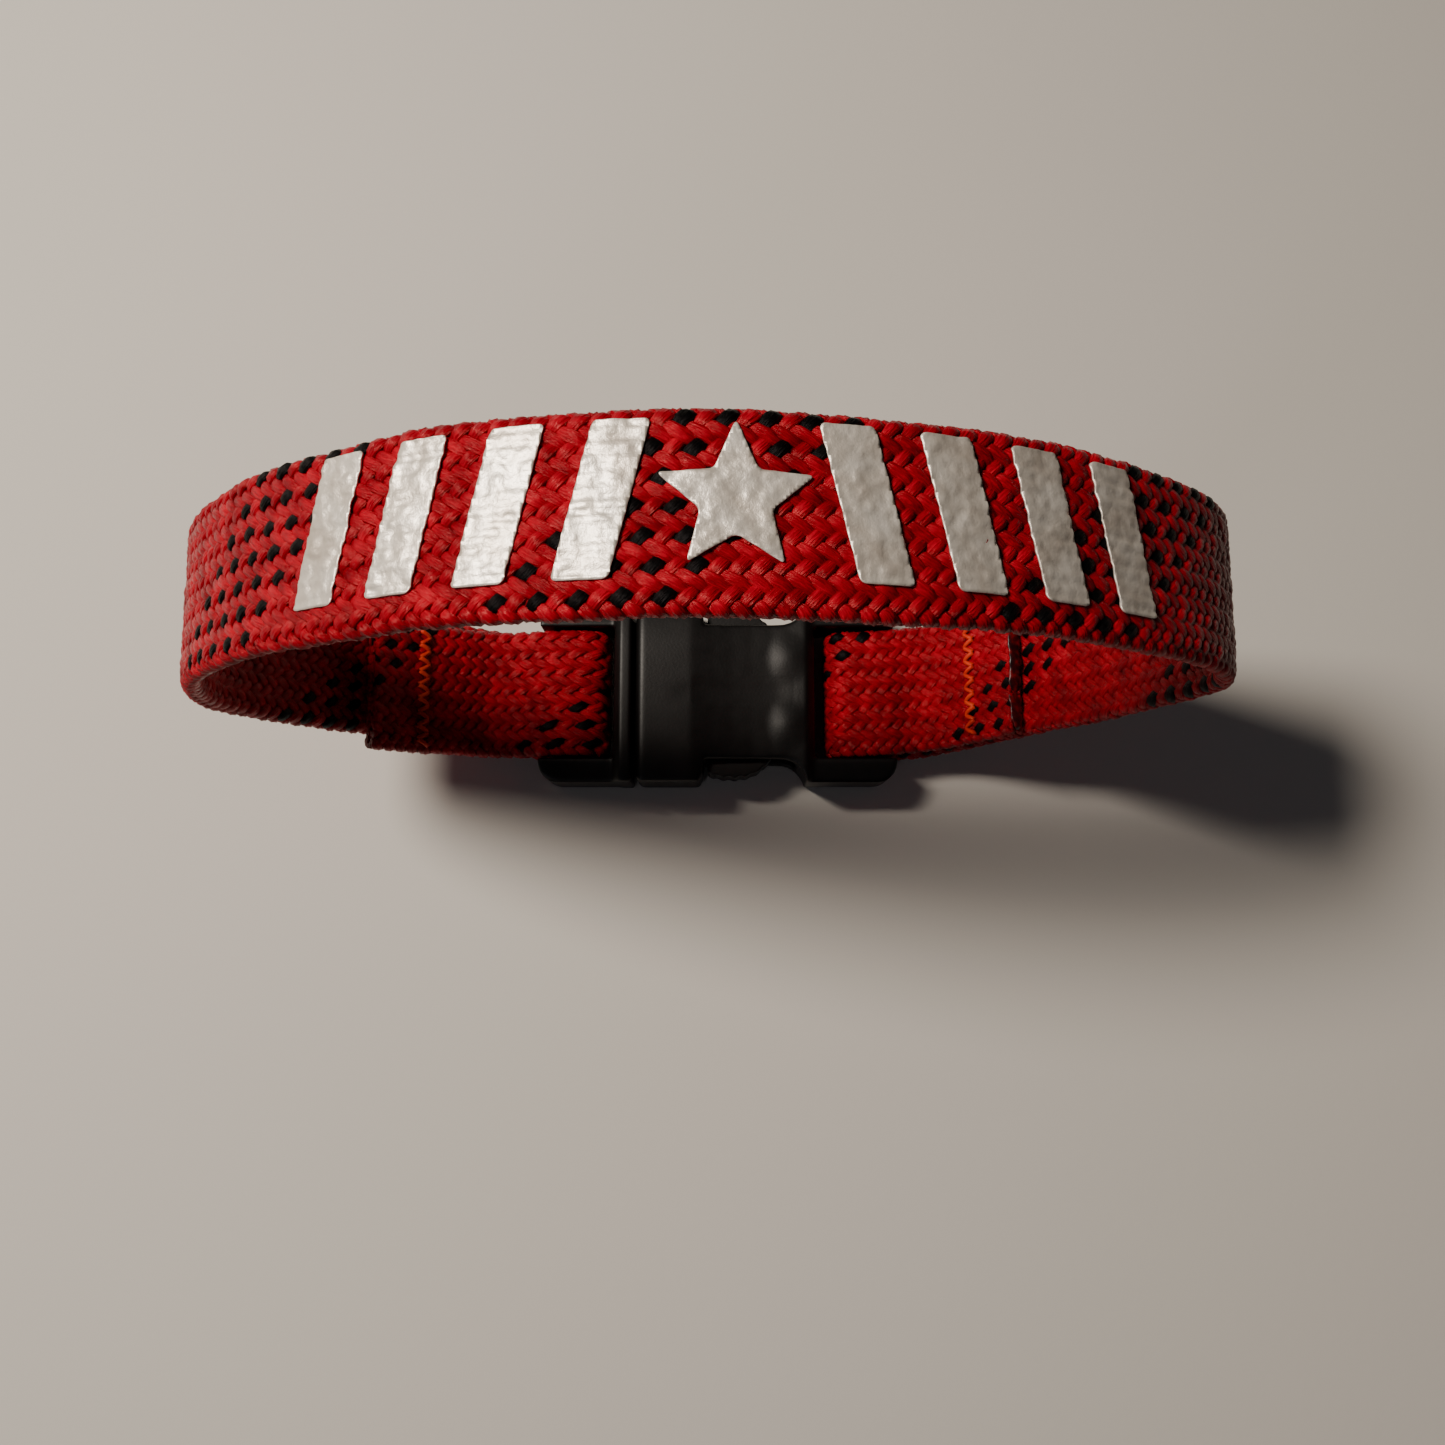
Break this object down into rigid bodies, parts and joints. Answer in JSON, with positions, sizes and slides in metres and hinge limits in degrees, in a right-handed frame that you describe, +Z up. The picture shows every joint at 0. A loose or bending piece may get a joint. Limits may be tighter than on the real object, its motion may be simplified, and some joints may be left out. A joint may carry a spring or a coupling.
{
  "type": "lace wristband",
  "caption": "Flat braided lace closed into an upright wrist loop by a small side-release buckle, with silver film shapes along its top.",
  "frame": {"origin": "centre of the buckle's flat underside, which the band stands on", "axes": "+Z up through the loop, +X from the buckle's plug to its socket, Y across the lace's width"},
  "size_m": [0.0657, 0.0144, 0.0494],
  "materials": {
    "lace": "braided polyester, slight sheen",
    "thread": "sewing thread, slight sheen",
    "film": "crinkled silver heat-transfer film",
    "buckle": "moulded acetal, satin"
  },
  "bodies": {
    "band": {"lace": "lace", "socket": "buckle", "socket_needle_thread": "thread", "socket_bobbin_thread": "thread", "film_star": "film", "film_stripe_left_1": "film", "film_stripe_left_2": "film", "film_stripe_left_3": "film", "film_stripe_left_4": "film", "film_stripe_right_1": "film", "film_stripe_right_2": "film", "film_stripe_right_3": "film", "film_stripe_right_4": "film"},
    "plug": {"plug": "buckle", "plug_needle_thread": "thread", "plug_bobbin_thread": "thread"},
    "arm_far": {"release_arm_far": "buckle"},
    "arm_near": {"release_arm_near": "buckle"}
  },
  "joints": [
    {"name": "plug_pull", "type": "slide", "parent": "band", "child": "plug", "axis": [-1, 0, 0], "range_m": [0, 0.0135], "deforming": ["lace", "release_arm_far", "release_arm_near"]},
    {"name": "arm_far_squeeze", "type": "hinge", "parent": "plug", "child": "arm_far", "pos_m": [-0.0046, 0.00475, 0.003], "axis": [0, 0, -1], "range_deg": [0, 12], "stiffness_Nm_per_rad": 0.02},
    {"name": "arm_near_squeeze", "type": "hinge", "parent": "plug", "child": "arm_near", "pos_m": [-0.0046, -0.00475, 0.003], "axis": [0, 0, 1], "range_deg": [0, 12], "stiffness_Nm_per_rad": 0.02}
  ],
  "couplings": [
    {"joint": "arm_near_squeeze", "follows": "arm_far_squeeze", "ratio": 1}
  ]
}
